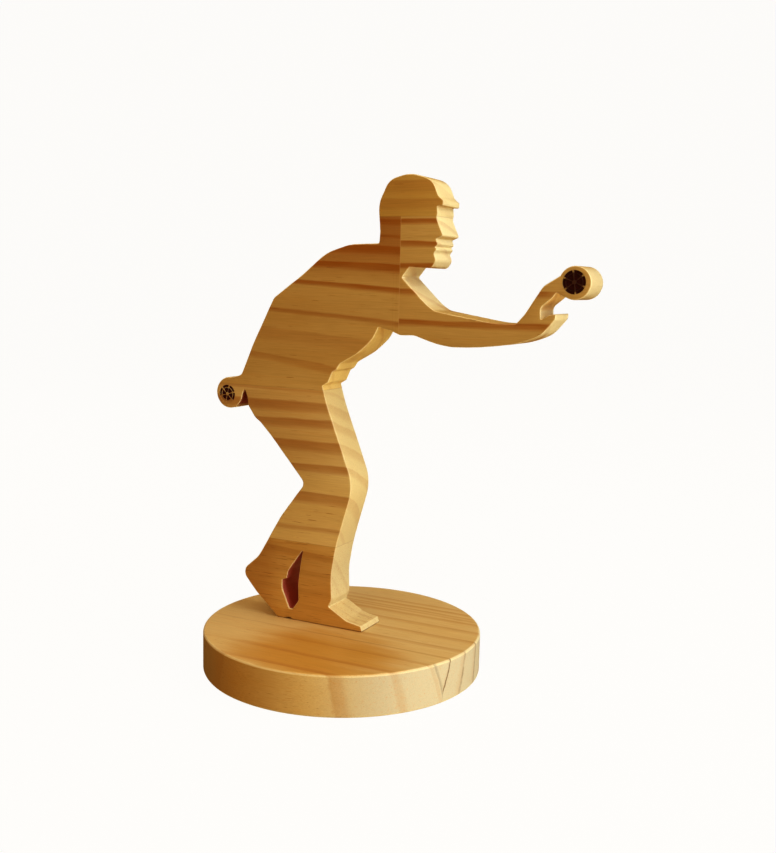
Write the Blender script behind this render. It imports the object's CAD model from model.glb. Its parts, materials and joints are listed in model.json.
import json
import math
from types import SimpleNamespace

import bmesh
import bpy
from mathutils import Matrix, Vector, geometry, kdtree, noise

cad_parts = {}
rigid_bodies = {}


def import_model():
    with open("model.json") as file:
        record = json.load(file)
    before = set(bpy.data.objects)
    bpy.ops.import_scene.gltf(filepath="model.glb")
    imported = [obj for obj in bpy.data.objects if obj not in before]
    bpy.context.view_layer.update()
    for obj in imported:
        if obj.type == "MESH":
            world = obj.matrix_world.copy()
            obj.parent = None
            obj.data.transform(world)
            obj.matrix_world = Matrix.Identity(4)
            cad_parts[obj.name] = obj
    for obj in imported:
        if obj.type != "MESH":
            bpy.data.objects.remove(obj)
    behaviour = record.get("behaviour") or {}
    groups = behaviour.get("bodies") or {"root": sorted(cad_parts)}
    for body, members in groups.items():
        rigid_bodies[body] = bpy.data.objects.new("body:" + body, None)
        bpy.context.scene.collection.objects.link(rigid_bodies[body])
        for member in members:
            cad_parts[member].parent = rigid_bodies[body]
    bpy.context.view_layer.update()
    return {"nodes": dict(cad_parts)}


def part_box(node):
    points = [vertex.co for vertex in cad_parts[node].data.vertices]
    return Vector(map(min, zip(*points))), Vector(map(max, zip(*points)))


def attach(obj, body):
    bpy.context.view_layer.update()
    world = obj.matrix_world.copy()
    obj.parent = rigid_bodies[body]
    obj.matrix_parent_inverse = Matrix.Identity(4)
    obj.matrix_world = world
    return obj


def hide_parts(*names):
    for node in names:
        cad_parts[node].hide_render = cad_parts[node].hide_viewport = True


for thing in list(bpy.data.objects):
    bpy.data.objects.remove(thing)
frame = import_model()

# Lengths in this script are millimetres. Meshes are made in metres, which is MM times that.
MM = 0.001
STAVES = ["foot_stave", "leg_stave", "torso_stave", "arm_stave", "head_stave"]
SCREWS = ["front_screw", "rear_screw"]


def low(node):
    """Lowest corner of a CAD node, in millimetres"""
    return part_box(node)[0] / MM


def high(node):
    """Highest corner of a CAD node, in millimetres"""
    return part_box(node)[1] / MM


BASE_TOP = high("base_disc").z
BASE_R = high("base_disc").x
# The board's shown face and its back, along Y
FRONT = low("head_stave").y
BACK = high("head_stave").y
ANKLE_GLUE = high("foot_stave").z
HIP_GLUE = high("leg_stave").z
BROW_GLUE = low("head_stave").z
FINGER_X = high("torso_stave").x
FINGER_LEN = FINGER_X - low("arm_stave").x
FINGER_COUNT = 4
FINGER_TIP = 0.9

# Screw holes: round the shank and the head in the base, and up into the foot
SHANK_HOLE_R = 1.95
HEAD_HOLE_R = 3.7
PILOT_R = 1.2
HEAD_RIM = 0.4

# The saw and the sanding: space of the outline's points, least turn of a sharp corner in
# degrees, depth of the saw's ripple, and radius of the arris
POINT_STEP = 0.55
CORNER_TURN = 24
RIPPLE = 0.07
ARRIS = 0.5
SHARP_EDGE = 28

# Burned rosettes, one on each ball: x and z of the centre, first spoke and spoke width in
# degrees, which outer arcs are faint, which wedges run into the next, the wedges' and the arcs'
# inner radius as parts of the whole, and how charred the spokes are
FRONT_BALL_R = 6.65
REAR_BALL_R = 7.15
FRONT_MARK = dict(
    x=high("arm_stave").x - FRONT_BALL_R - 0.3, z=BASE_TOP + 156.4, radius=4.65,
    first=38, spoke=9, faint=(), joined=(), ring=(0.73, 0.75), spoke_char=0.93,
    ember=(0.12, 0.004, 0.004))
REAR_MARK = dict(
    x=low("leg_stave").x + REAR_BALL_R - 1.15, z=BASE_TOP + 102.05, radius=4.2,
    first=15, spoke=10, faint=(3, 4), joined=(0,), ring=(0.69, 0.75), spoke_char=0.25,
    ember=(0.16, 0.004, 0.004))
MARK_SPOKES = 6
MARK_DEPTH = 0.4
FAINT_DEPTH = 0.3 * MARK_DEPTH


# ---------------------------------------------------------------- outline of the board

def shown_face_loops():
    """The sawn outline and the slot between the feet, as loops of (x, z) on the shown face.
    The wood lies on the left of every loop. Edges along glue lines are left out."""
    near = 0.004
    glue = (ANKLE_GLUE, HIP_GLUE, BROW_GLUE)
    starts = []
    ends = []
    for name in STAVES:
        mesh = frame["nodes"][name].data
        edges = set()
        for face in mesh.polygons:
            corners = [mesh.vertices[i].co / MM for i in face.vertices]
            if all(abs(c.y - FRONT) < near for c in corners):
                flat = [(round(c.x, 3), round(c.z, 3)) for c in corners]
                edges.update(zip(flat, flat[1:] + flat[:1]))
        for a, b in sorted(edges):
            on_glue = any(abs(a[1] - g) < near and abs(b[1] - g) < near for g in glue)
            on_joint = abs(a[0] - FINGER_X) < near and abs(b[0] - FINGER_X) < near
            if (b, a) not in edges and not on_glue and not on_joint:
                starts.append(Vector((a[0], 0, a[1])))
                ends.append(Vector((b[0], 0, b[1])))
    tree = kdtree.KDTree(len(starts))
    for i, point in enumerate(starts):
        tree.insert(point, i)
    tree.balance()
    used = set()
    loops = []
    for first in range(len(starts)):
        loop = []
        i = first
        while i not in used:
            used.add(i)
            loop.append(Vector((starts[i].x, starts[i].z)))
            i = tree.find(ends[i])[1]
        if len(loop) > 8 and abs(area(loop)) > 40:
            loops.append(loop)
    return sorted(loops, key=area, reverse=True)


def area(loop):
    """Signed area of a loop, positive anticlockwise"""
    return sum(a.x * b.y - b.x * a.y for a, b in zip(loop, loop[1:] + loop[:1])) / 2


def fine_curve(loop):
    """The loop as a smooth curve of close points that keeps its sharp corners"""
    count = len(loop)
    fine = []
    for i in range(count):
        before, a, b, after = (loop[(i + k) % count] for k in (-1, 0, 1, 2))
        chord = b - a
        leave = (b - before).normalized()
        arrive = (after - a).normalized()
        if chord.angle(a - before, 0) > math.radians(CORNER_TURN):
            leave = chord.normalized()
        if chord.angle(after - b, 0) > math.radians(CORNER_TURN):
            arrive = chord.normalized()
        pieces = max(1, math.ceil(chord.length / POINT_STEP))
        for k in range(pieces):
            t = k / pieces
            fine.append(
                (2 * t**3 - 3 * t**2 + 1) * a + (t**3 - 2 * t**2 + t) * leave * chord.length
                + (3 * t**2 - 2 * t**3) * b + (t**3 - t**2) * arrive * chord.length)
    return fine


def inward(loop):
    """Unit normals of a loop that point into the wood"""
    normals = []
    for before, after in zip(loop[-1:] + loop[:-1], loop[1:] + loop[:1]):
        along = (after - before).normalized()
        normals.append(Vector((-along.y, along.x)))
    return normals


def ramp(value, start, end):
    """Smooth step from 0 at start to 1 at end"""
    t = min(1, max(0, (value - start) / (end - start)))
    return t * t * (3 - 2 * t)


def saw_ripple(loop):
    """The loop cut by a hand-fed scroll saw: shallow waves, none of them outside the CAD outline"""
    rough = []
    for point, normal in zip(loop, inward(loop)):
        wave = noise.noise(Vector((point.x * 0.33, point.y * 0.33, 4.2)))
        chatter = noise.noise(Vector((point.x * 1.1, point.y * 1.1, 9.1)))
        calm = ramp(point.y, BASE_TOP + 0.2, BASE_TOP + 3)
        rough.append(point + normal * RIPPLE * calm * (1 + 0.7 * wave + 0.45 * chatter))
    return rough


def arris_radii(loop):
    """Radius of the sanded arris at every point, small where the outline turns tightly"""
    normals = inward(loop)
    radii = []
    for point in loop:
        worn = 1 + 0.45 * noise.noise(Vector((point.x * 0.12, point.y * 0.12, 1.7)))
        radii.append(ARRIS * worn * (0.35 + 0.65 * ramp(point.y, BASE_TOP, BASE_TOP + 2)))
    count = len(loop)
    for _ in range(60):
        tight = set()
        for i in range(count):
            j = (i + 1) % count
            edge = loop[j] - loop[i]
            moved = edge + normals[j] * radii[j] - normals[i] * radii[i]
            if moved.dot(edge) < 0.2 * edge.length_squared:
                tight.update((i, j))
        if not tight:
            break
        for i in tight:
            radii[i] *= 0.8
        radii = [
            min(radii[i], 0.5 * (radii[i - 1] + radii[(i + 1) % count]) + 0.04)
            for i in range(count)]
    return radii


# ---------------------------------------------------------------- meshes

def new_object(name, bm):
    """A smooth-shaded object made from bm, with its sharp edges kept"""
    mesh = bpy.data.meshes.new(name)
    bmesh.ops.recalc_face_normals(bm, faces=bm.faces)
    bm.to_mesh(mesh)
    bm.free()
    obj = bpy.data.objects.new(name, mesh)
    bpy.context.scene.collection.objects.link(obj)
    smooth(obj)
    return obj


def smooth(obj):
    obj.data.shade_smooth()
    obj.data.set_sharp_from_angle(angle=math.radians(SHARP_EDGE))


def bridge(bm, ring, other):
    """Faces between two closed rings of the same length"""
    count = len(ring)
    for i in range(count):
        j = (i + 1) % count
        bm.faces.new((ring[i], ring[j], other[j], other[i]))


def board(loops):
    """The sawn figure as one closed body: both faces, the walls, and a rounded arris between"""
    bm = bmesh.new()
    steps = 4
    faces = {FRONT: [], BACK: []}
    for loop in loops:
        normals = inward(loop)
        radii = arris_radii(loop)
        rings = []
        for face, depth_way in ((FRONT, 1), (BACK, -1)):
            side = []
            for step in range(steps + 1):
                angle = math.pi / 2 * step / steps
                ring = []
                for point, normal, radius in zip(loop, normals, radii):
                    flat = point + normal * radius * (1 - math.sin(angle))
                    y = face + depth_way * radius * (1 - math.cos(angle))
                    ring.append(bm.verts.new(Vector((flat.x, y, flat.y)) * MM))
                side.append(ring)
            faces[face].append(side[0])
            rings += side if depth_way == 1 else side[::-1]
        for ring, other in zip(rings, rings[1:]):
            bridge(bm, ring, other)
    for face_rings in faces.values():
        flat = [v for ring in face_rings for v in ring]
        outlines = [[(v.co.x / MM, v.co.z / MM, 0) for v in ring] for ring in face_rings]
        for triangle in geometry.tessellate_polygon(outlines):
            bm.faces.new([flat[i] for i in triangle])
    bmesh.ops.recalc_face_normals(bm, faces=bm.faces)
    return bm


def slab(whole, bottom, top):
    """The part of a closed body between two heights, with its cuts closed"""
    bm = whole.copy()
    for height, away in ((bottom, -1), (top, 1)):
        if height is None:
            continue
        cut = bmesh.ops.bisect_plane(
            bm, geom=bm.verts[:] + bm.edges[:] + bm.faces[:], dist=1e-7,
            plane_co=(0, 0, height * MM), plane_no=(0, 0, away), clear_outer=True)
        edges = [e for e in cut["geom_cut"] if isinstance(e, bmesh.types.BMEdge)]
        bmesh.ops.edgeloop_fill(bm, edges=edges)
    return bm


def prism(bm, outline, y_from, y_to):
    """Adds a closed prism along y with an (x, z) outline"""
    rings = [[bm.verts.new(Vector((x, y, z)) * MM) for x, z in outline] for y in (y_from, y_to)]
    bridge(bm, *rings)
    bm.faces.new(rings[0])
    bm.faces.new(rings[1][::-1])


def cut_with(obj, cutter, operation="DIFFERENCE"):
    """Applies one exact Boolean to obj and removes the cutter"""
    modifier = obj.modifiers.new("cut", "BOOLEAN")
    modifier.operation = operation
    modifier.solver = "EXACT"
    modifier.object = cutter
    bpy.context.view_layer.update()
    cut = bpy.data.meshes.new_from_object(obj.evaluated_get(
        bpy.context.evaluated_depsgraph_get()))
    obj.modifiers.clear()
    obj.data = cut
    smooth(obj)
    bpy.data.objects.remove(cutter)


def finger_block():
    """Everything behind the finger joint: a zigzag through the thickness, straight upwards"""
    pitch = (BACK - FRONT) / FINGER_COUNT
    tip = FINGER_TIP / 2
    zigzag = [(-120, FRONT - tip)]
    for i in range(FINGER_COUNT + 1):
        y = FRONT + i * pitch
        zigzag += [(FINGER_X, y - tip), (FINGER_X, y + tip)]
        if i < FINGER_COUNT:
            root = FINGER_X - FINGER_LEN
            zigzag += [(root, y + pitch / 2 - tip), (root, y + pitch / 2 + tip)]
    zigzag.append((-120, BACK + tip))
    bm = bmesh.new()
    rings = [
        [bm.verts.new(Vector((x, y, z)) * MM) for x, y in zigzag]
        for z in (HIP_GLUE - 5, BROW_GLUE + 5)]
    bridge(bm, *rings)
    bm.faces.new(rings[0])
    bm.faces.new(rings[1][::-1])
    return new_object("finger_block", bm)


def chip_sole(obj):
    """Splits a short splinter off the sole's shown edge, near the heel"""
    sole = [
        v.co.x / MM for v in frame["nodes"]["foot_stave"].data.vertices
        if v.co.z / MM < BASE_TOP + 0.01]
    start = min(sole) + 4.5
    outline = [
        (start, BASE_TOP - 1), (start + 3.4, BASE_TOP - 1), (start + 3.2, BASE_TOP + 0.35),
        (start + 1.9, BASE_TOP + 0.95), (start + 0.3, BASE_TOP + 0.75)]
    bm = bmesh.new()
    prism(bm, outline, FRONT - 1, FRONT + 3.5)
    cut_with(obj, new_object("chip_cutter", bm))


def ring_piece(mark, inner, outer, start, end):
    """Outline of a piece of a ring round a rosette's centre"""
    steps = 10
    angles = [math.radians(start + (end - start) * i / steps) for i in range(steps + 1)]
    points = [(outer, a) for a in angles] + [(inner, a) for a in reversed(angles)]
    return [(mark["x"] + r * math.cos(a), mark["z"] + r * math.sin(a)) for r, a in points]


def burn_rosette(obj, mark):
    """Sinks the rosette's arcs and wedges into the shown face"""
    share = 360 / MARK_SPOKES
    radius = mark["radius"]
    bm = bmesh.new()
    for i in range(MARK_SPOKES):
        start = mark["first"] + share * i + mark["spoke"] / 2
        end = mark["first"] + share * (i + 1) - mark["spoke"] / 2
        depth = FAINT_DEPTH if i in mark["faint"] else MARK_DEPTH
        gap_in, gap_out = (part * radius for part in mark["ring"])
        prism(bm, ring_piece(mark, gap_out, radius, start, end), FRONT - 1, FRONT + depth)
        if i in mark["joined"]:
            end += mark["spoke"] - 0.5
        prism(
            bm, ring_piece(mark, 0.18 * radius, gap_in, start, end),
            FRONT - 1, FRONT + MARK_DEPTH)
    cut_with(obj, new_object("rosette_cutter", bm))


def lathe(name, profile, centre=(0, 0), segments=64, radius_at=lambda r, z, angle: r):
    """A closed turned body: profile is (radius, height) from the bottom to the top"""
    bm = bmesh.new()
    rings = []
    for r, z in profile:
        ring = []
        for i in range(segments):
            angle = 2 * math.pi * i / segments
            reach = radius_at(r, z, angle)
            x = centre[0] + reach * math.cos(angle)
            y = centre[1] + reach * math.sin(angle)
            ring.append(bm.verts.new(Vector((x, y, z)) * MM))
        rings.append(ring)
    for ring, other in zip(rings, rings[1:]):
        bridge(bm, ring, other)
    bm.faces.new(rings[0])
    bm.faces.new(rings[-1][::-1])
    return new_object(name, bm)


# ---------------------------------------------------------------- materials

class Graph:
    """Makes a material's nodes. Each method adds a node and returns its output."""

    def __init__(self, name):
        self.material = bpy.data.materials.new(name)
        self.material.use_nodes = True
        self.tree = self.material.node_tree
        self.shader = self.tree.nodes["Principled BSDF"]

    def link(self, value, socket):
        if isinstance(value, bpy.types.NodeSocket):
            self.tree.links.new(value, socket)
        else:
            socket.default_value = value

    def math(self, operation, *values, clamp=False):
        node = self.tree.nodes.new("ShaderNodeMath")
        node.operation = operation
        node.use_clamp = clamp
        for i, value in enumerate(values):
            self.link(value, node.inputs[i])
        return node.outputs[0]

    def times(self, a, b):
        return self.math("MULTIPLY", a, b)

    def scaled(self, value, scale, added):
        """value * scale + added"""
        return self.math("MULTIPLY_ADD", value, scale, added)

    def rest(self, value):
        """What a mask leaves of 1"""
        return self.math("SUBTRACT", 1, value)

    def distance(self, value, level):
        return self.math("ABSOLUTE", self.math("SUBTRACT", value, level))

    def step(self, value, start, end):
        """Smooth step from 0 at start to 1 at end"""
        node = self.tree.nodes.new("ShaderNodeMapRange")
        node.interpolation_type = "SMOOTHSTEP"
        self.link(value, node.inputs["Value"])
        self.link(start, node.inputs["From Min"])
        self.link(end, node.inputs["From Max"])
        return node.outputs["Result"]

    def between(self, value, start, end, soft):
        """1 between two limits, falling softly to 0 beyond them"""
        return self.times(
            self.step(value, start - soft, start + soft),
            self.rest(self.step(value, end - soft, end + soft)))

    def place(self):
        """Position in the shared frame, in millimetres, as (x, y, z)"""
        coordinates = self.tree.nodes.new("ShaderNodeTexCoord")
        scaled = self.tree.nodes.new("ShaderNodeVectorMath")
        scaled.operation = "SCALE"
        self.link(coordinates.outputs["Object"], scaled.inputs[0])
        scaled.inputs["Scale"].default_value = 1 / MM
        parts = self.tree.nodes.new("ShaderNodeSeparateXYZ")
        self.link(scaled.outputs[0], parts.inputs[0])
        return parts.outputs[0], parts.outputs[1], parts.outputs[2]

    def facing(self, axis, start, end, either_way=False):
        """Smooth step over the surface normal's part along an axis"""
        coordinates = self.tree.nodes.new("ShaderNodeTexCoord")
        parts = self.tree.nodes.new("ShaderNodeSeparateXYZ")
        self.link(coordinates.outputs["Normal"], parts.inputs[0])
        part = parts.outputs[axis]
        if either_way:
            part = self.math("ABSOLUTE", part)
        return self.step(part, start, end)

    def noise(self, place, size, seed, detail=2.0, roughness=0.5):
        """Noise from 0 to 1 whose lumps are size = (along x, along y, along z) millimetres"""
        join = self.tree.nodes.new("ShaderNodeCombineXYZ")
        for i in range(3):
            self.link(self.scaled(place[i], 1 / size[i], seed), join.inputs[i])
        node = self.tree.nodes.new("ShaderNodeTexNoise")
        self.link(join.outputs[0], node.inputs["Vector"])
        node.inputs["Scale"].default_value = 1
        node.inputs["Detail"].default_value = detail
        node.inputs["Roughness"].default_value = roughness
        return node.outputs[0]

    def mix(self, factor, a, b, kind="MIX"):
        node = self.tree.nodes.new("ShaderNodeMix")
        node.data_type = "RGBA"
        node.blend_type = kind
        self.link(factor, node.inputs["Factor"])
        for value, socket in ((a, node.inputs[6]), (b, node.inputs[7])):
            self.link((*value, 1) if isinstance(value, tuple) else value, socket)
        return node.outputs[2]

    def shade(self, light):
        """A brightness as a colour, which turns warmer where it is darker"""
        node = self.tree.nodes.new("ShaderNodeCombineColor")
        for i, power in enumerate((1.0, 1.35, 1.8)):
            self.link(self.math("POWER", light, power), node.inputs[i])
        return node.outputs[0]

    def bands(self, value, bands, start, end):
        """Growth rings: 0 between bands and a band's strength inside it. A band is (outer edge,
        thickness, strength), with a soft inner side and a crisp outer edge, which is the side
        away from 0. A negative thickness is a band that only darkens steadily to its edge."""
        if len(bands) > RAMP_BANDS:
            return self.math("MAXIMUM", *(
                self.bands(value, part, start, end)
                for part in (bands[:RAMP_BANDS], bands[RAMP_BANDS:])))
        node = self.tree.nodes.new("ShaderNodeValToRGB")
        self.link(
            self.math("DIVIDE", self.math("SUBTRACT", value, start), end - start),
            node.inputs[0])
        stops = []
        for outer, thickness, strength in sorted(bands):
            side = math.copysign(1, outer)
            size = side * abs(thickness)
            levels = [(outer - size * 1.25, 0)]
            if thickness > 0:
                levels.append((outer - size * 0.75, strength * 0.8))
            levels += [(outer - side * 0.25, strength), (outer + side * 0.2, 0)]
            stops += [
                ((level - start) / (end - start), shade) for level, shade in sorted(levels)]
        ramp_stops = node.color_ramp.elements
        ramp_stops.remove(ramp_stops[1])
        for i, (level, shade) in enumerate(stops):
            stop = ramp_stops[0] if i == 0 else ramp_stops.new(level)
            stop.position = level
            stop.color = (shade, shade, shade, 1)
        return node.outputs[0]

    def bump(self, height, strength, distance):
        node = self.tree.nodes.new("ShaderNodeBump")
        node.inputs["Strength"].default_value = strength
        node.inputs["Distance"].default_value = distance * MM
        self.link(height, node.inputs["Height"])
        self.link(node.outputs[0], self.shader.inputs["Normal"])


# A colour ramp holds 32 stops, and a band takes up to 4
RAMP_BANDS = 7

# Linear colours of lacquered pine
EARLY = (0.745, 0.545, 0.24)
EARLY_WARM = (0.705, 0.485, 0.19)
LATE = (0.49, 0.185, 0.022)
STREAK = (0.57, 0.28, 0.06)
END_GRAIN = (0.88, 0.75, 0.48)
WORN = (0.95, 0.84, 0.58)
RESIN = (0.42, 0.15, 0.02)
RING_EDGE = (0.2, 0.1, 0.03)
GLUE_LINE = (0.3, 0.13, 0.03)
GRIME = (0.2, 0.06, 0.01)
CHAR = (0.007, 0.0012, 0.001)

# Offset from the joint, half width, strength and colour of the lines that the fingers show
JOINT_LINES = [
    (0.0, 0.24, 0.4, (0.82, 0.62, 0.34)),
    (-1.4, 0.2, 0.1, (0.42, 0.2, 0.05)),
    (-2.9, 0.2, 0.08, (0.42, 0.2, 0.05))]

# What every piece of wood says. A step is (from, to), or (from, to, amount).
# seed: start of its noise; sway: how far its rings wander
# pith, lean: the tree's middle as (y, height over the base) at x = 0, and its slope along x
# span: lowest and highest growth layer; bands: latewood, as (layer, thickness, strength)
# fade: step along x for the bands; end_band: their strength on end grain
# deep, deep_along: steps over the layers or along x towards the latewood's colour
# end_pale, worn_top: how far end grain and upward faces turn to end_colour
# walls: tints of sawn walls, as (region, tint); contact: step over the base for grime
COMMON = dict(
    early=EARLY, early_warm=EARLY_WARM, late=LATE, streak=0.35, canals=0.5, canal_from=0.7,
    canal_colour=RESIN, sway=2.4, end_colour=END_GRAIN, end_pale=0.9, end_band=0.38, walls=(),
    flat_axis=1)

WOOD = {
    "foot_stave": dict(
        COMMON, seed=11.0, pith=(-40, -14), lean=(0, -0.03), span=(-10, 60), sway=3.0,
        bands=[(32.4, 2.6, 0.4), (23.7, 2.5, 0.22), (14.6, 2.2, 0.18), (7.5, 2.0, 0.15)],
        early=(0.81, 0.585, 0.25), early_warm=(0.73, 0.46, 0.15), late=(0.5, 0.225, 0.05),
        streak=0.8, deep=(36, 29, 0.2), deep_along=(-27, -41, 0.42),
        canals=0.6, canal_from=0.67, canal_colour=(0.36, 0.12, 0.02),
        walls=[((-31, -17, 4, 34), (0.76, 0.235, 0.3))],
        end_colour=(0.84, 0.71, 0.44), end_pale=1.0, worn_top=0.75,
        contact=(0.15, 0.6, 0.75)),
    "leg_stave": dict(
        COMMON, seed=23.0, pith=(-25, 15), lean=(0, 0), span=(20, 140),
        early=(0.91, 0.74, 0.40), early_warm=(0.86, 0.67, 0.33),
        walls=[((-54.5, -47.8, 95, 106), (0.5, 0.12, 0.1))], deep=(64, 80, 0.2),
        end_colour=(0.80, 0.665, 0.40),
        bands=[(44.8, 2.2, 0.35), (60.6, 4.7, 0.56), (73.3, 3.3, 0.62), (83.9, 4.4, 0.6),
               (93.2, 3.8, 0.6), (101.2, 4.4, 0.58), (106.9, 1.4, 0.38), (116, 4, 0.6)]),
    "torso_stave": dict(
        COMMON, seed=37.0, pith=(-35, 92), lean=(-0.156, 0.024), span=(92, 212),
        deep=(152, 170, 0.64), end_colour=(0.86, 0.67, 0.31),
        bands=[(117.2, 3.5, 0.4), (131, 6, 0.25), (140.7, 1.9, 0.6), (154.5, 2.3, 0.95),
               (163.5, 2.8, 1.0), (170.6, 3.2, 1.0), (174.9, 1.4, 0.9), (181.6, 2.4, 1.0)]),
    "arm_stave": dict(
        COMMON, seed=41.0, pith=(-30, 80), lean=(0, 0), span=(80, 210),
        end_colour=(0.93, 0.82, 0.56), end_band=0.2, fade=(101, 90),
        walls=[((83, 97, 145, 153), (1.0, 0.84, 0.62)), ((99, 120, 148, 170), (0.86, 0.83, 0.8)),
               ((6, 26, 148, 176), (1.0, 0.93, 0.86))],
        bands=[(127.5, 3, 0.3), (139.8, 2.6, 0.9), (152.4, 2.4, 0.8), (162.9, 2.3, 1.0),
               (172.2, 2.2, 0.9), (181.4, 2.2, 1.0)]),
    "head_stave": dict(
        COMMON, seed=53.0, pith=(-30, 110), lean=(0, 0), span=(150, 230),
        early=(0.73, 0.52, 0.18), early_warm=(0.69, 0.46, 0.14), end_colour=(0.93, 0.82, 0.54),
        bands=[(189.5, 4.6, 0.3), (197, 5, 0.3), (204, 3, 0.4)]),
    # The base's layers are distances from the pith line that runs under its top. edge_lines are
    # thin dark rings, (layer, strength). stain is a patch's middle and reach, (x, y, x, y).
    "base_disc": dict(
        COMMON, seed=67.0, cathedral_y=-20, span=(-60, 90), sway=1.2,
        early=(0.79, 0.615, 0.34), early_warm=(0.765, 0.565, 0.275), late=(0.58, 0.29, 0.07),
        streak=0.55, end_colour=(0.62, 0.55, 0.455), end_pale=1.0, end_band=0.5, flat_axis=2,
        side_tones=((0.93, 0.73, 0.39), (1.12, 1.13, 1.09)), fade=(-60, 0),
        stain=(10, -40, 33, 28), stain_colour=(0.83, 0.615, 0.285),
        bands=[(-37.5, 2.8, 0.5), (-22.6, 2.6, 0.5), (-7.6, 2.0, 0.35), (4.7, -1.5, 0.4),
               (16.2, -3.4, 0.5), (28.7, -3.4, 0.5), (40.7, -3.4, 0.5), (50.8, -3, 0.55),
               (54.6, -2, 0.5), (57.4, -2, 0.5), (62, -2.6, 0.6), (67, -2.6, 0.5)],
        edge_lines=[(-5.0, 0.55), (4.7, 0.95), (16.2, 0.9), (28.7, 0.8), (40.7, 0.5)]),
}


def cathedral(g, place, pith_y):
    """Growth layers of a flat-sawn disc, whose V-shaped layers lean towards the pith line below.
    Distance from that line, on the top, and negative in front of it"""
    dy = g.math("SUBTRACT", place[1], pith_y)
    away = g.math("ABSOLUTE", dy)
    spread = g.math("POWER", g.math("DIVIDE", away, 25.0), 2.0)
    lean = g.math("DIVIDE", 0.34, g.math("ADD", 1.0, spread))
    layer = g.scaled(lean, g.math("SUBTRACT", BASE_TOP, place[2]), away)
    return g.times(layer, g.math("SIGN", dy))


def rings(g, place, pith, lean):
    """Growth layers round a pith along X, each named by the height over the base at which it
    comes out on the shown face, over x = 0"""
    x, y, z = place
    pith_y, pith_z = pith
    dy = g.math("SUBTRACT", y, g.scaled(x, lean[0], pith_y))
    dz = g.math("SUBTRACT", z, g.scaled(x, lean[1], pith_z + BASE_TOP))
    radius2 = g.math("ADD", g.times(dy, dy), g.times(dz, dz))
    depth = FRONT - pith_y
    height = g.math("SQRT", g.math("MAXIMUM", g.math("SUBTRACT", radius2, depth * depth), 0.0))
    return g.math("ADD", height, pith_z)


def growth_layer(g, place, wood):
    """The growth layer at a point, with the wander that real rings have"""
    if "cathedral_y" in wood:
        layer = cathedral(g, place, wood["cathedral_y"])
    else:
        layer = rings(g, place, wood["pith"], wood["lean"])
    sway = g.noise(place, (70, 14, 14), wood["seed"])
    waver = g.noise(place, (16, 3, 3), wood["seed"] + 5)
    layer = g.math("ADD", layer, g.scaled(sway, wood["sway"], -wood["sway"] / 2))
    return g.math("ADD", layer, g.scaled(waver, 0.9, -0.45))


def read_grain(g, wood):
    """The wood's figure at a point: its growth layer, masks, and noise at several sizes"""
    place = g.place()
    seed = wood["seed"]
    layer = growth_layer(g, place, wood)
    patchy = g.noise(place, (28, 6, 5), seed + 9)
    # 1 where the surface cuts across the fibres, which run along X, and 0 along them
    end_grain = g.facing(0, 0.2, 0.75, either_way=True)
    latewood = g.bands(layer, wood["bands"], *wood["span"])
    latewood = g.math("MULTIPLY", latewood, g.scaled(patchy, 0.8, 0.6), clamp=True)
    if "fade" in wood:
        latewood = g.times(latewood, g.step(place[0], *wood["fade"]))
    latewood = g.times(latewood, g.scaled(end_grain, wood["end_band"] - 1, 1.0))
    dashes = g.noise(place, (10, 0.55, 0.45), seed + 4, detail=1)
    canals = g.step(dashes, wood["canal_from"], wood["canal_from"] + 0.07)
    return SimpleNamespace(
        place=place, layer=layer, latewood=latewood, patchy=patchy, end_grain=end_grain,
        dashes=dashes, canals=g.times(canals, g.rest(end_grain)),
        fibre=g.noise(place, (34, 0.9, 0.75), seed + 1, detail=3, roughness=0.65),
        fine=g.noise(place, (9, 0.28, 0.22), seed + 2),
        tone=g.noise(place, (60, 22, 16), seed + 3))


def plain_wood(g, wood, grain):
    """Wood between the bands: two broad tones, with deeper zones"""
    colour = g.mix(g.step(grain.tone, 0.25, 0.75), wood["early"], wood["early_warm"])
    for zone, level in (("deep", grain.layer), ("deep_along", grain.place[0])):
        if zone in wood:
            start, end, amount = wood[zone]
            colour = g.mix(g.times(g.step(level, start, end), amount), colour, wood["late"])
    return colour


def surface_tones(g, wood, grain, colour):
    """Paler end grain and worn arrises. The varnish on a turned edge may be darker towards one
    end of the grain."""
    pale = g.times(grain.end_grain, wood["end_pale"])
    if "worn_top" in wood:
        pale = g.math("MAXIMUM", pale, g.times(g.facing(2, 0.3, 0.8), wood["worn_top"]))
    colour = g.mix(pale, colour, wood["end_colour"])
    flat = wood["flat_axis"]
    arris = g.times(
        g.facing(flat, 0.1, 0.4, either_way=True),
        g.rest(g.facing(flat, 0.86, 0.98, either_way=True)))
    colour = g.mix(g.times(arris, 0.75), colour, WORN)
    if "side_tones" in wood:
        side = g.rest(g.facing(flat, 0.1, 0.6, either_way=True))
        tones = g.mix(g.step(grain.place[0], -42, 24), *wood["side_tones"])
        colour = g.mix(side, colour, tones, "MULTIPLY")
    return colour


def figured(g, wood, grain, colour):
    """Latewood bands with their dark edges, fibres, fine rings and resin canals"""
    colour = g.mix(grain.latewood, colour, wood["late"])
    if "edge_lines" in wood:
        lines = [(outer, -0.7, strength) for outer, strength in wood["edge_lines"]]
        lines = g.times(g.bands(grain.layer, lines, *wood["span"]), g.step(grain.patchy, 0.2, 0.5))
        lines = g.times(lines, g.scaled(grain.end_grain, 0.85, 0.15))
        colour = g.mix(lines, colour, RING_EDGE)
    streak = g.times(g.step(grain.fibre, 0.5, 0.82), wood["streak"])
    colour = g.mix(streak, colour, STREAK)
    light = g.times(g.scaled(grain.fine, 0.22, 0.89), g.scaled(grain.fibre, 0.26, 0.87))
    colour = g.mix(1.0, colour, g.shade(light), "MULTIPLY")
    return g.mix(g.times(grain.canals, wood["canals"]), colour, wood["canal_colour"])


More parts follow.
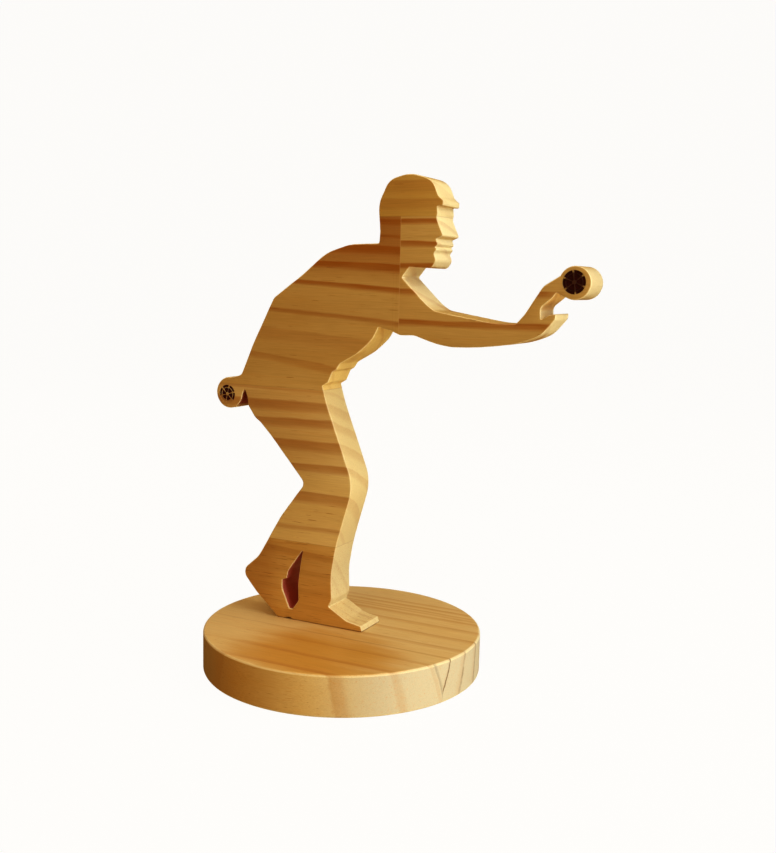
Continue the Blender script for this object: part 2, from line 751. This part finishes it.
def varnish_patch(g, wood, grain):
    """Mask of a blotch of thicker varnish on the top of the base"""
    x, y, z = grain.place
    middle_x, middle_y, reach_x, reach_y = wood["stain"]
    across = g.math("DIVIDE", g.math("SUBTRACT", x, middle_x), reach_x)
    along = g.math("DIVIDE", g.math("SUBTRACT", y, middle_y), reach_y)
    away = g.math("ADD", g.math("POWER", across, 2.0), g.math("POWER", along, 2.0))
    away = g.math("ADD", away, g.scaled(grain.patchy, 1.5, -0.75))
    return g.times(g.rest(g.step(away, 0.1, 2.0)), g.step(z, BASE_TOP - 0.7, BASE_TOP - 0.05))


def sawn_walls(g, place, region):
    """Mask of the board's walls inside a region, (x from, to, height over the base from, to)"""
    wall = g.rest(g.facing(1, 0.05, 0.3, either_way=True))
    across = g.between(place[0], region[0], region[1], 0.6)
    up = g.between(place[2], BASE_TOP + region[2], BASE_TOP + region[3], 0.6)
    return g.times(wall, g.times(across, up))


def stained(g, wood, grain, colour):
    """Varnish that has pooled, and grime where the figure stands on its base"""
    if "stain" in wood:
        colour = g.mix(varnish_patch(g, wood, grain), colour, wood["stain_colour"], "MULTIPLY")
    for region, tint in wood["walls"]:
        colour = g.mix(sawn_walls(g, grain.place, region), colour, tint, "MULTIPLY")
    if "contact" in wood:
        start, end, amount = wood["contact"]
        touch = g.rest(g.step(grain.place[2], BASE_TOP + start, BASE_TOP + end))
        colour = g.mix(g.times(touch, amount), colour, GRIME)
    return colour


def glued(g, grain, levels, joint, colour):
    """Glue lines at some heights, and the lines of the finger joint"""
    x, _, z = grain.place
    for level in levels:
        line = g.rest(g.step(g.distance(z, level), 0.06, 0.22))
        colour = g.mix(g.times(line, 0.22), colour, GLUE_LINE)
    if joint:
        for offset, width, strength, tint in JOINT_LINES:
            line = g.rest(g.step(g.distance(x, FINGER_X + offset), width / 3, width))
            line = g.times(line, g.scaled(grain.fibre, strength, strength / 2))
            colour = g.mix(line, colour, tint)
    return colour


def char_mask(g, place, mark):
    """How burned the wood is round a rosette: grooves, spokes and a scorched halo"""
    x, y, z = place
    dx = g.math("SUBTRACT", x, mark["x"])
    dz = g.math("SUBTRACT", z, mark["z"])
    away = g.math("SQRT", g.math("ADD", g.times(dx, dx), g.times(dz, dz)))
    radius = mark["radius"]
    smoke = g.noise(place, (0.8, 0.8, 0.8), 3.1, detail=3)
    on_face = g.rest(g.step(y, FRONT + 0.6, FRONT + 0.9))
    edge = g.scaled(smoke, 0.5, radius - 0.2)
    disc = g.rest(g.step(away, edge, g.math("ADD", edge, 0.15)))
    sunk = g.step(y, FRONT + 0.15, FRONT + 0.28)
    halo = g.rest(g.step(away, radius - 0.3, radius + 0.9))
    tips = g.scaled(g.step(away, 0.74 * radius, 0.95 * radius), -0.6, 1.0)
    spokes = g.times(g.times(disc, mark["spoke_char"]), tips)
    level = g.math("MAXIMUM", g.times(halo, 0.1), spokes)
    level = g.math("MAXIMUM", level, g.times(sunk, disc))
    return g.times(level, on_face)


def lacquered(g, grain, burned):
    """Satin roughness and the relief of the fibres, rough and cracked where it is burned"""
    rough = g.scaled(grain.fine, 0.14, 0.4)
    rough = g.scaled(grain.latewood, -0.06, rough)
    relief = g.scaled(grain.fibre, 0.6, g.times(grain.fine, 0.4))
    relief = g.scaled(grain.latewood, 0.5, relief)
    relief = g.scaled(grain.canals, -0.5, relief)
    if burned is not None:
        rough = g.scaled(burned, 0.35, rough)
        relief = g.scaled(g.times(burned, grain.dashes), 3.0, relief)
    g.link(rough, g.shader.inputs["Roughness"])
    g.shader.inputs["IOR"].default_value = 1.42
    g.bump(relief, 0.35, 0.12)


def pine(name, wood, mark=None, glue=(), joint=False):
    """Pine as a solid, the same from every side: the rings run through the whole piece"""
    g = Graph(name)
    grain = read_grain(g, wood)
    colour = plain_wood(g, wood, grain)
    colour = surface_tones(g, wood, grain, colour)
    colour = figured(g, wood, grain, colour)
    colour = stained(g, wood, grain, colour)
    colour = glued(g, grain, glue, joint, colour)
    burned = None
    if mark:
        burned = char_mask(g, grain.place, mark)
        soot = g.mix(g.noise(grain.place, (0.5, 0.5, 0.5), 7), CHAR, mark["ember"])
        colour = g.mix(burned, colour, soot)
    g.link(colour, g.shader.inputs["Base Color"])
    lacquered(g, grain, burned)
    return g.material


def steel(name):
    """Bright zinc-plated steel, turned, with fine rings and a little tarnish"""
    g = Graph(name)
    place = g.place()
    turned = g.noise(place, (2.2, 2.2, 0.09), 1.0)
    cloud = g.noise(place, (1.6, 1.6, 1.6), 2.0, detail=3)
    colour = g.mix(g.step(cloud, 0.35, 0.75), (0.62, 0.62, 0.6), (0.42, 0.41, 0.37))
    g.link(colour, g.shader.inputs["Base Color"])
    g.shader.inputs["Metallic"].default_value = 1
    g.link(g.scaled(cloud, 0.3, 0.2), g.shader.inputs["Roughness"])
    g.bump(turned, 0.3, 0.05)
    return g.material


# ---------------------------------------------------------------- the trophy

def finish_piece(obj, node, material):
    """Gives a new piece its material, and tells the frame which node it stands for"""
    obj.data.materials.clear()
    obj.data.materials.append(material)
    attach(obj, "root")
    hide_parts(node)


def make_staves():
    """The five staves, sawn out of one board that is glued up first"""
    loops = [saw_ripple(fine_curve(loop)) for loop in shown_face_loops()]
    whole = board(loops)
    cuts = {
        "foot_stave": (None, ANKLE_GLUE), "leg_stave": (ANKLE_GLUE, HIP_GLUE),
        "torso_stave": (HIP_GLUE, BROW_GLUE), "arm_stave": (HIP_GLUE, BROW_GLUE),
        "head_stave": (BROW_GLUE, None)}
    made = {
        name: new_object("pine_" + name, slab(whole, bottom, top))
        for name, (bottom, top) in cuts.items()}
    whole.free()
    cut_with(made["torso_stave"], finger_block(), "INTERSECT")
    cut_with(made["arm_stave"], finger_block())
    chip_sole(made["foot_stave"])
    burn_rosette(made["arm_stave"], FRONT_MARK)
    burn_rosette(made["leg_stave"], REAR_MARK)
    return made


def make_base():
    """The turned base, a closed body with rounded edges"""
    edge = 1.2
    steps = 8
    curve = [math.pi / 2 * i / steps for i in range(steps + 1)]
    profile = [(BASE_R - edge + edge * math.sin(a), edge - edge * math.cos(a)) for a in curve]
    profile += [
        (BASE_R - edge + edge * math.cos(a), BASE_TOP - edge + edge * math.sin(a)) for a in curve]

    def sanded(r, z, angle):
        wave = noise.noise(Vector((math.cos(angle) * 3, math.sin(angle) * 3, z * 0.02)))
        return r - 0.06 * (1 + wave)

    return lathe("pine_base", profile, segments=288, radius_at=sanded)


def drill(obj, node, profile):
    """Cuts a turned hole, profile (radius, height), on a screw's axis"""
    middle = (low(node) + high(node)) / 2
    cut_with(obj, lathe("drill", profile, (middle.x, middle.y), segments=48))


staves = make_staves()
SLOTS = {
    "foot_stave": "pine_foot", "leg_stave": "pine_leg", "torso_stave": "pine_torso",
    "arm_stave": "pine_arm", "head_stave": "pine_head"}
GLUE = {
    "foot_stave": (ANKLE_GLUE,), "leg_stave": (ANKLE_GLUE, HIP_GLUE),
    "torso_stave": (HIP_GLUE, BROW_GLUE), "arm_stave": (HIP_GLUE, BROW_GLUE),
    "head_stave": (BROW_GLUE,)}
MARKS = {"arm_stave": FRONT_MARK, "leg_stave": REAR_MARK}
for node, stave in staves.items():
    finish_piece(
        stave, node,
        pine(SLOTS[node] + "_wood", WOOD[node], MARKS.get(node), GLUE[node],
             joint=node in ("torso_stave", "arm_stave")))

base = make_base()
for node in SCREWS:
    rim = low(node).z + HEAD_RIM
    cone_top = rim + HEAD_HOLE_R - SHANK_HOLE_R
    drill(base, node, [
        (HEAD_HOLE_R, -1), (HEAD_HOLE_R, rim), (SHANK_HOLE_R, cone_top),
        (SHANK_HOLE_R, BASE_TOP + 1)])
    drill(staves["foot_stave"], node, [(PILOT_R, BASE_TOP - 1), (PILOT_R, high(node).z)])
finish_piece(base, "base_disc", pine("pine_base_wood", WOOD["base_disc"]))

screw_steel = steel("zinc_steel")
for node in SCREWS:
    frame["nodes"][node].data.materials.clear()
    frame["nodes"][node].data.materials.append(screw_steel)


# ---------------------------------------------------------------- floor, light and camera

def glow(name, colour, strength):
    """A material that shines evenly, with a trace of diffuse for contact shade"""
    material = bpy.data.materials.new(name)
    material.use_nodes = True
    nodes = material.node_tree.nodes
    nodes.clear()
    emission = nodes.new("ShaderNodeEmission")
    emission.inputs["Color"].default_value = (*colour, 1)
    emission.inputs["Strength"].default_value = strength
    diffuse = nodes.new("ShaderNodeBsdfDiffuse")
    diffuse.inputs["Color"].default_value = (0.9, 0.89, 0.87, 1)
    blend = nodes.new("ShaderNodeMixShader")
    blend.inputs[0].default_value = 0.02
    output = nodes.new("ShaderNodeOutputMaterial")
    links = material.node_tree.links
    links.new(emission.outputs[0], blend.inputs[1])
    links.new(diffuse.outputs[0], blend.inputs[2])
    links.new(blend.outputs[0], output.inputs[0])
    return material


def make_studio():
    """A pale sweep all round: a flat floor that rises into a dome. Only the camera sees it."""
    bm = bmesh.new()
    segments = 96
    floor_r = 1500
    dome_r = 4000
    rings = []
    profile = [(r, 0) for r in (200, 600, floor_r)]
    profile += [
        (floor_r + dome_r * math.sin(a), dome_r * (1 - math.cos(a)))
        for a in [math.radians(6 * i) for i in range(1, 16)]]
    profile += [
        ((floor_r + dome_r) * math.cos(a), dome_r + (floor_r + dome_r) * math.sin(a))
        for a in [math.radians(10 * i) for i in range(1, 9)]]
    for r, z in profile:
        rings.append([
            bm.verts.new(Vector((
                r * math.cos(2 * math.pi * i / segments), r * math.sin(2 * math.pi * i / segments),
                z - 0.02)) * MM)
            for i in range(segments)])
    bm.faces.new(rings[0])
    for ring, other in zip(rings, rings[1:]):
        bridge(bm, ring, other)
    bm.faces.new(rings[-1])
    sweep = new_object("studio_sweep", bm)
    sweep.data.materials.append(glow("pale_sweep", (0.987, 0.98, 0.967), 1.012))
    sweep.visible_diffuse = False
    sweep.visible_glossy = False
    sweep.visible_transmission = False
    sweep.visible_shadow = False


def area_light(name, azimuth, elevation, distance, size, power, colour):
    """A soft box aimed at the middle of the figure. Azimuth 0 is at -Y, 90 at +X."""
    data = bpy.data.lights.new(name, "AREA")
    data.shape = "RECTANGLE"
    data.size, data.size_y = (s * MM for s in size)
    data.energy = power
    data.color = colour
    light = bpy.data.objects.new(name, data)
    bpy.context.scene.collection.objects.link(light)
    a = math.radians(azimuth)
    e = math.radians(elevation)
    back = Vector((math.sin(a) * math.cos(e), -math.cos(a) * math.cos(e), math.sin(e)))
    light.location = (Vector((0, 0, 90)) + back * distance) * MM
    light.rotation_euler = (-back).to_track_quat("-Z", "Y").to_euler()
    return light


def make_lights():
    """Soft light, strongest from the figure's front, with a warm glow from all round"""
    area_light("key", 84, 20, 1100, (900, 1100), 9.8, (0.76, 0.91, 0.92))
    area_light("upper_right", 90, 46, 1200, (900, 900), 4.0, (0.92, 0.9, 0.72))
    area_light("floor_bounce", 85, -40, 1000, (900, 600), 5.0, (0.95, 0.87, 0.55))
    area_light("top", -40, 80, 1200, (1300, 1300), 5.2, (1.0, 0.88, 0.6))
    area_light("back_fill", -112, 42, 1300, (1100, 900), 2.8, (1.0, 0.88, 0.6))
    area_light("front_fill", 14, 12, 1600, (1300, 1200), 5.8, (1.0, 0.70, 0.22))
    world = bpy.data.worlds.new("studio")
    bpy.context.scene.world = world
    world.use_nodes = True
    shade = world.node_tree.nodes["Background"]
    shade.inputs["Color"].default_value = (1.0, 0.54, 0.19, 1)
    shade.inputs["Strength"].default_value = 0.245


def make_camera():
    """A little above the figure's middle, to the right of its shown face"""
    data = bpy.data.cameras.new("camera")
    data.sensor_width = 36
    data.lens = 44.21
    camera = bpy.data.objects.new("camera", data)
    bpy.context.scene.collection.objects.link(camera)
    turn = (
        Matrix.Rotation(math.radians(26.58), 4, "Z")
        @ Matrix.Rotation(math.radians(90 - 7.77), 4, "X")
        @ Matrix.Rotation(math.radians(1.27), 4, "Z"))
    camera.matrix_world = Matrix.Translation(Vector((222.7, -403.3, 172.3)) * MM) @ turn
    bpy.context.scene.camera = camera


make_studio()
make_lights()
make_camera()
view = bpy.context.scene.view_settings
view.view_transform = "Standard"
view.gamma = 0.74
